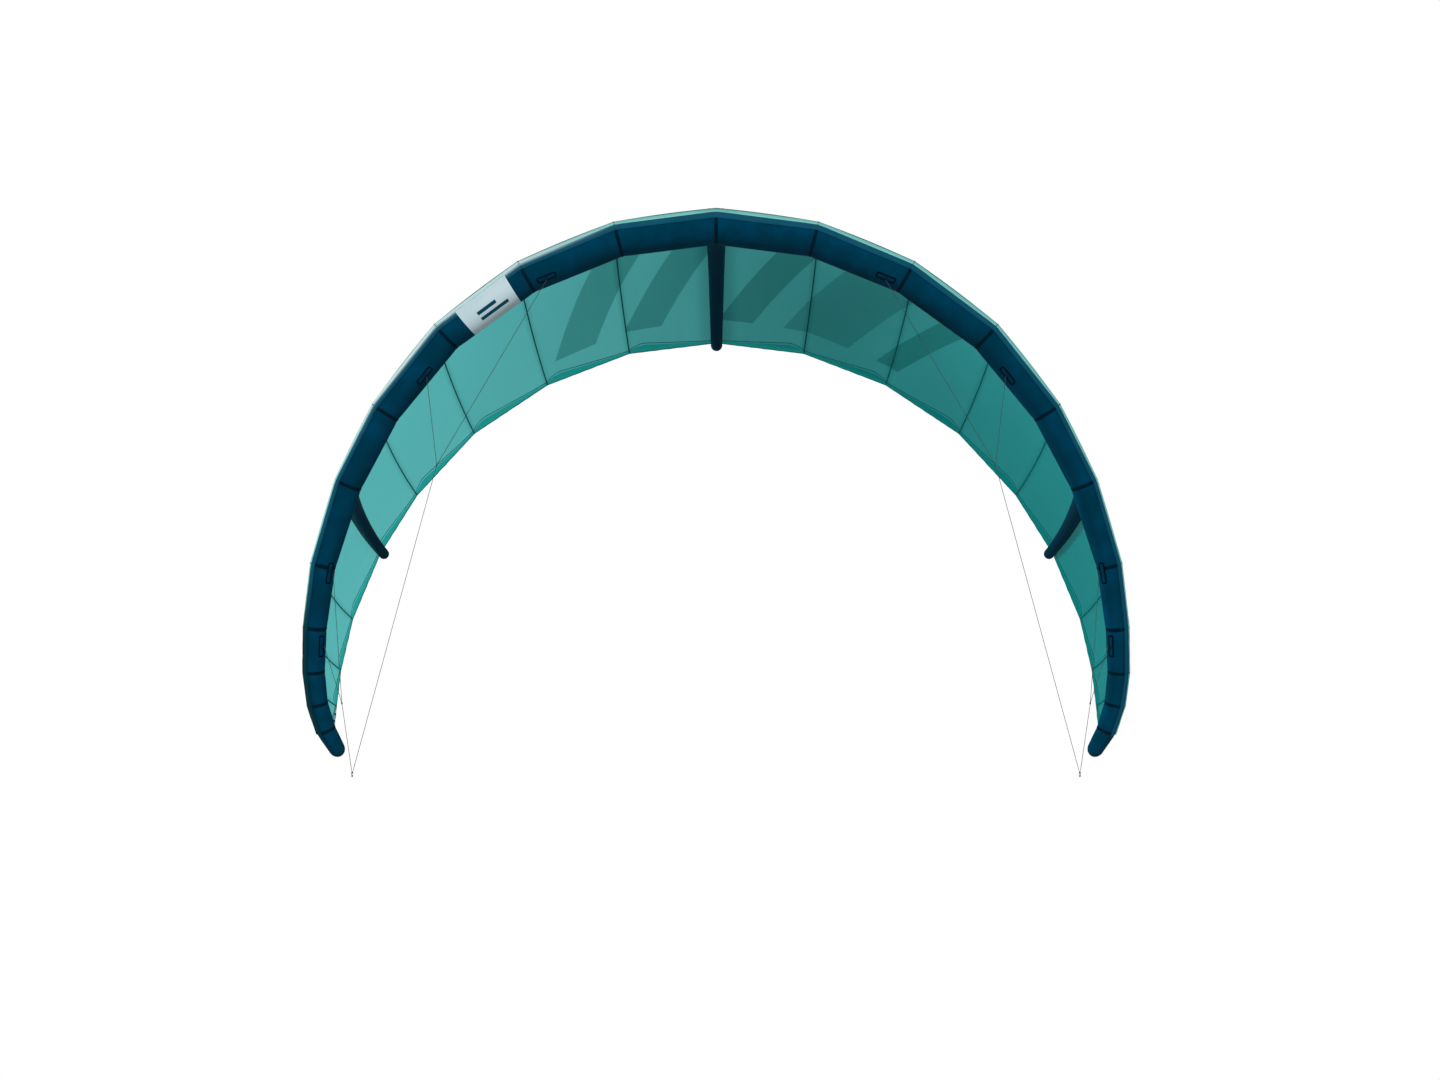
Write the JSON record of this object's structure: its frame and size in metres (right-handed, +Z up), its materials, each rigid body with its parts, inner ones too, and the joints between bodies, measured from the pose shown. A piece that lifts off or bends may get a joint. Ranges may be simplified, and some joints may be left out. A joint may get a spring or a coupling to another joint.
{
  "type": "kitesurf kite",
  "caption": "Inflatable-edge kitesurf kite in its flying arc, with a taut cambered canopy, struts, bladders, one-pump hoses and a front bridle on each side.",
  "frame": {"origin": "the middle of the leading edge tube, on the kite's plane of symmetry", "axes": "+X towards the right tip seen from the front, +Y from the leading edge back to the trailing edge, +Z up out of the arc"},
  "size_m": [4.5734, 2.0724, 3.1494],
  "materials": {
    "casing_cloth": "glossy coated navy polyester sailcloth with sewn seam bands",
    "strut_cloth": "dark navy coated sailcloth",
    "canopy_cloth": "translucent teal ripstop",
    "bladder_film": "clear TPU film",
    "valve_plastic": "satin black",
    "hose_tube": "translucent silicone",
    "webbing": "woven webbing with stitched patches",
    "bridle_line": "grey braided line"
  },
  "bodies": {
    "kite": {"bridle_tab_1_left": "webbing", "bridle_tab_1_right": "webbing", "bridle_tab_2_left": "webbing", "bridle_tab_2_right": "webbing", "bridle_tab_3_left": "webbing", "bridle_tab_3_right": "webbing", "bridle_tab_4_left": "webbing", "bridle_tab_4_right": "webbing", "canopy_centre_left": "canopy_cloth", "canopy_centre_right": "canopy_cloth", "canopy_side_left": "canopy_cloth", "canopy_side_right": "canopy_cloth", "canopy_tip_left": "canopy_cloth", "canopy_tip_right": "canopy_cloth", "centre_hose_clip": "valve_plastic", "centre_inflation_hose": "hose_tube", "centre_strut_bladder": "bladder_film", "centre_strut_casing": "strut_cloth", "inflate_valve_base": "valve_plastic", "leading_edge_bladder": "bladder_film", "leading_edge_centre": "casing_cloth", "leading_edge_inner_left": "casing_cloth", "leading_edge_inner_right": "casing_cloth", "leading_edge_outer_left": "casing_cloth", "leading_edge_outer_right": "casing_cloth", "leading_edge_tip_left": "casing_cloth", "leading_edge_tip_right": "casing_cloth", "left_hose_clip": "valve_plastic", "left_inflation_hose": "hose_tube", "left_strut_bladder": "bladder_film", "left_strut_casing": "strut_cloth", "pump_leash_loop": "webbing", "rear_line_tab_left": "webbing", "rear_line_tab_right": "webbing", "right_hose_clip": "valve_plastic", "right_inflation_hose": "hose_tube", "right_strut_bladder": "bladder_film", "right_strut_casing": "strut_cloth"},
    "bridle_left": {"bridle_leg_1_left": "bridle_line", "bridle_leg_2_left": "bridle_line", "bridle_leg_3_left": "bridle_line", "bridle_leg_4_left": "bridle_line", "bridle_upper_main_left": "bridle_line", "bridle_lower_main_left": "bridle_line", "bridle_upper_knot_left": "bridle_line", "bridle_lower_knot_left": "bridle_line", "front_pigtail_left": "bridle_line"},
    "bridle_right": {"bridle_leg_1_right": "bridle_line", "bridle_leg_2_right": "bridle_line", "bridle_leg_3_right": "bridle_line", "bridle_leg_4_right": "bridle_line", "bridle_upper_main_right": "bridle_line", "bridle_lower_main_right": "bridle_line", "bridle_upper_knot_right": "bridle_line", "bridle_lower_knot_right": "bridle_line", "front_pigtail_right": "bridle_line"},
    "valve_cap": {"inflate_valve_cap": "valve_plastic"},
    "centre_clip_jaw": {"centre_hose_clip_jaw": "valve_plastic"},
    "left_clip_jaw": {"left_hose_clip_jaw": "valve_plastic"},
    "right_clip_jaw": {"right_hose_clip_jaw": "valve_plastic"}
  },
  "joints": [
    {"name": "bridle_swing_left", "type": "hinge", "parent": "kite", "child": "bridle_left", "pos_m": [-0.91554, -0.01687, -0.30685], "axis": [0.5229, -0.2992, 0.7981], "range_deg": [-12, 12], "deforming": ["bridle_leg_1_left", "bridle_leg_2_left", "bridle_leg_3_left", "bridle_leg_4_left"]},
    {"name": "bridle_swing_right", "type": "hinge", "parent": "kite", "child": "bridle_right", "pos_m": [0.91554, -0.01687, -0.30685], "axis": [0.5229, 0.2992, -0.7981], "range_deg": [-12, 12], "deforming": ["bridle_leg_1_right", "bridle_leg_2_right", "bridle_leg_3_right", "bridle_leg_4_right"]},
    {"name": "valve_cap_hinge", "type": "hinge", "parent": "kite", "child": "valve_cap", "pos_m": [0.32675, 0.09763, -0.10441], "axis": [-0.992, -0.0344, 0.1218], "range_deg": [0, 130]},
    {"name": "centre_clip_hinge", "type": "hinge", "parent": "kite", "child": "centre_clip_jaw", "pos_m": [0.10906, 0.19066, 0.03166], "axis": [-0.3572, 0.6689, 0.6519], "range_deg": [0, 60]},
    {"name": "left_clip_hinge", "type": "hinge", "parent": "kite", "child": "left_clip_jaw", "pos_m": [-1.93241, 0.56661, -1.18974], "axis": [0.3496, -0.8971, 0.2701], "range_deg": [0, 60]},
    {"name": "right_clip_hinge", "type": "hinge", "parent": "kite", "child": "right_clip_jaw", "pos_m": [1.93241, 0.56661, -1.18974], "axis": [0.3496, 0.8971, -0.2701], "range_deg": [0, 60]}
  ]
}
